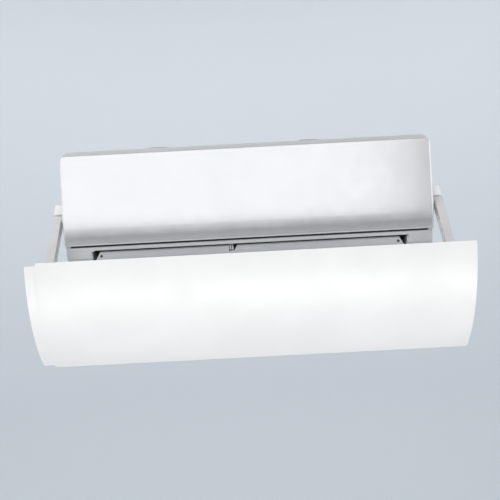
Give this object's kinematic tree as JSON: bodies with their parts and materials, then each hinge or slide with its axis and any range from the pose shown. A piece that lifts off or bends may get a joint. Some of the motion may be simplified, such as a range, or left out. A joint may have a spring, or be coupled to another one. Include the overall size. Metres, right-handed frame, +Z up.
{
  "type": "wall-mounted split air conditioner with air deflector",
  "caption": "Indoor split air conditioner on a wall plate, with lift-up front, swinging louver and vanes, and a wide curved air deflector on two pivoted side arms.",
  "frame": {"origin": "centre of the wall plate's back face, which lies on the wall", "axes": "+Y into the wall, -Y out into the room, +Z up, X along the unit"},
  "size_m": [1, 0.3029, 0.506],
  "materials": {
    "gloss_white": "gloss",
    "satin_white": "satin",
    "casing_plastic": "matte",
    "deflector_white": "satin",
    "foam": "matte",
    "dark_plastic": "matte",
    "zinc_steel": "zinc plated",
    "fin_aluminium": "satin",
    "copper": "satin copper",
    "brass": "satin",
    "rubber": "matte",
    "filter_mesh": "matte mesh",
    "circuit_board": "satin",
    "smoked_lens": "gloss"
  },
  "bodies": {
    "unit": {"wall_plate": "zinc_steel", "rear_casing": "casing_plastic", "front_frame": "satin_white", "top_grille": "satin_white", "evaporator_front": "fin_aluminium", "evaporator_top": "fin_aluminium", "evaporator_rear": "fin_aluminium", "coil_plate_left": "zinc_steel", "coil_plate_right": "zinc_steel", "drain_pan": "foam", "bearing_bush": "rubber", "fan_motor": "zinc_steel", "motor_strap": "zinc_steel", "louver_support": "satin_white", "louver_motor": "dark_plastic", "control_box": "dark_plastic", "control_board": "circuit_board", "control_box_cover": "zinc_steel", "terminal_block": "dark_plastic", "display_board": "circuit_board", "receiver_lens": "smoked_lens", "room_sensor": "copper", "gas_pipe": "copper", "gas_flare_nut": "brass", "liquid_pipe": "copper", "liquid_flare_nut": "brass", "casing_screw_left": "zinc_steel", "casing_screw_right": "zinc_steel", "side_bracket_right": "deflector_white", "side_bracket_left": "deflector_white", "adhesive_pad_right": "foam", "adhesive_pad_left": "foam", "arm_bolt_right": "deflector_white", "arm_bolt_left": "deflector_white"},
    "front_panel": {"front_panel": "gloss_white"},
    "filter_left": {"filter_left": "filter_mesh"},
    "filter_right": {"filter_right": "filter_mesh"},
    "blower": {"blower_wheel": "dark_plastic", "motor_shaft": "zinc_steel"},
    "louver": {"louver": "gloss_white"},
    "auto_run_button": {"auto_run_button": "satin_white"},
    "vane_left_1": {"vane_left_1": "satin_white"},
    "vane_left_2": {"vane_left_2": "satin_white"},
    "vane_left_3": {"vane_left_3": "satin_white"},
    "vane_left_4": {"vane_left_4": "satin_white"},
    "vane_right_1": {"vane_right_1": "satin_white"},
    "vane_right_2": {"vane_right_2": "satin_white"},
    "vane_right_3": {"vane_right_3": "satin_white"},
    "vane_right_4": {"vane_right_4": "satin_white"},
    "vane_link_left": {"vane_link_left": "satin_white"},
    "vane_link_right": {"vane_link_right": "satin_white"},
    "arm_left": {"deflector_arm_left": "deflector_white"},
    "arm_right": {"deflector_arm_right": "deflector_white"},
    "deflector": {"deflector_panel": "deflector_white", "tilt_bracket_left": "deflector_white", "tilt_bracket_right": "deflector_white", "tilt_bolt_left": "deflector_white", "tilt_bolt_right": "deflector_white"},
    "extension_left": {"extension_left": "deflector_white"},
    "extension_right": {"extension_right": "deflector_white"}
  },
  "joints": [
    {"name": "front_panel_hinge", "type": "hinge", "parent": "unit", "child": "front_panel", "pos_m": [0, -0.196, 0.114], "axis": [-1, 0, 0], "range_deg": [0, 60]},
    {"name": "filter_left_lift", "type": "slide", "parent": "unit", "child": "filter_left", "axis": [0, 0, 1], "range_m": [0, 0.205]},
    {"name": "filter_right_lift", "type": "slide", "parent": "unit", "child": "filter_right", "axis": [0, 0, 1], "range_m": [0, 0.205]},
    {"name": "blower_spin", "type": "hinge", "parent": "unit", "child": "blower", "pos_m": [0, -0.1, -0.038], "axis": [1, 0, 0], "continuous": true},
    {"name": "louver_tilt", "type": "hinge", "parent": "unit", "child": "louver", "pos_m": [0, -0.1396, -0.1417], "axis": [1, 0, 0], "range_deg": [-4, 66]},
    {"name": "auto_run_press", "type": "slide", "parent": "unit", "child": "auto_run_button", "axis": [0, 1, 0], "range_m": [0, 0.0015], "stiffness_N_per_m": 400, "springref_m": -0.001},
    {"name": "vane_link_left_slide", "type": "slide", "parent": "unit", "child": "vane_link_left", "axis": [1, 0, 0], "range_m": [-0.01165, 0.01165]},
    {"name": "vane_left_1_swing", "type": "hinge", "parent": "unit", "child": "vane_left_1", "pos_m": [-0.33, -0.1057, -0.126], "axis": [0, -0.6428, 0.766], "range_deg": [-25, 25]},
    {"name": "vane_left_2_swing", "type": "hinge", "parent": "unit", "child": "vane_left_2", "pos_m": [-0.242, -0.1057, -0.126], "axis": [0, -0.6428, 0.766], "range_deg": [-25, 25]},
    {"name": "vane_left_3_swing", "type": "hinge", "parent": "unit", "child": "vane_left_3", "pos_m": [-0.154, -0.1057, -0.126], "axis": [0, -0.6428, 0.766], "range_deg": [-25, 25]},
    {"name": "vane_left_4_swing", "type": "hinge", "parent": "unit", "child": "vane_left_4", "pos_m": [-0.066, -0.1057, -0.126], "axis": [0, -0.6428, 0.766], "range_deg": [-25, 25]},
    {"name": "vane_link_right_slide", "type": "slide", "parent": "unit", "child": "vane_link_right", "axis": [1, 0, 0], "range_m": [-0.01165, 0.01165]},
    {"name": "vane_right_1_swing", "type": "hinge", "parent": "unit", "child": "vane_right_1", "pos_m": [0.022, -0.1057, -0.126], "axis": [0, -0.6428, 0.766], "range_deg": [-25, 25]},
    {"name": "vane_right_2_swing", "type": "hinge", "parent": "unit", "child": "vane_right_2", "pos_m": [0.11, -0.1057, -0.126], "axis": [0, -0.6428, 0.766], "range_deg": [-25, 25]},
    {"name": "vane_right_3_swing", "type": "hinge", "parent": "unit", "child": "vane_right_3", "pos_m": [0.198, -0.1057, -0.126], "axis": [0, -0.6428, 0.766], "range_deg": [-25, 25]},
    {"name": "vane_right_4_swing", "type": "hinge", "parent": "unit", "child": "vane_right_4", "pos_m": [0.286, -0.1057, -0.126], "axis": [0, -0.6428, 0.766], "range_deg": [-25, 25]},
    {"name": "arm_left_swing", "type": "hinge", "parent": "unit", "child": "arm_left", "pos_m": [-0.4485, -0.17, -0.02], "axis": [-1, 0, 0], "range_deg": [-20, 45]},
    {"name": "arm_right_swing", "type": "hinge", "parent": "unit", "child": "arm_right", "pos_m": [0.4485, -0.17, -0.02], "axis": [-1, 0, 0], "range_deg": [-20, 45]},
    {"name": "deflector_tilt", "type": "hinge", "parent": "arm_left", "child": "deflector", "pos_m": [-0.4485, -0.269, -0.127], "axis": [-1, 0, 0], "range_deg": [-10, 50]},
    {"name": "extension_left_slide", "type": "slide", "parent": "deflector", "child": "extension_left", "axis": [-1, 0, 0], "range_m": [-0.0245, 0.06]},
    {"name": "extension_right_slide", "type": "slide", "parent": "deflector", "child": "extension_right", "axis": [1, 0, 0], "range_m": [0, 0.085]}
  ],
  "couplings": [
    {"joint": "vane_left_1_swing", "follows": "vane_link_left_slide", "rad_per_m": 37.425},
    {"joint": "vane_left_2_swing", "follows": "vane_link_left_slide", "rad_per_m": 37.425},
    {"joint": "vane_left_3_swing", "follows": "vane_link_left_slide", "rad_per_m": 37.425},
    {"joint": "vane_left_4_swing", "follows": "vane_link_left_slide", "rad_per_m": 37.425},
    {"joint": "vane_right_1_swing", "follows": "vane_link_right_slide", "rad_per_m": 37.425},
    {"joint": "vane_right_2_swing", "follows": "vane_link_right_slide", "rad_per_m": 37.425},
    {"joint": "vane_right_3_swing", "follows": "vane_link_right_slide", "rad_per_m": 37.425},
    {"joint": "vane_right_4_swing", "follows": "vane_link_right_slide", "rad_per_m": 37.425},
    {"joint": "arm_right_swing", "follows": "arm_left_swing", "ratio": 1}
  ]
}
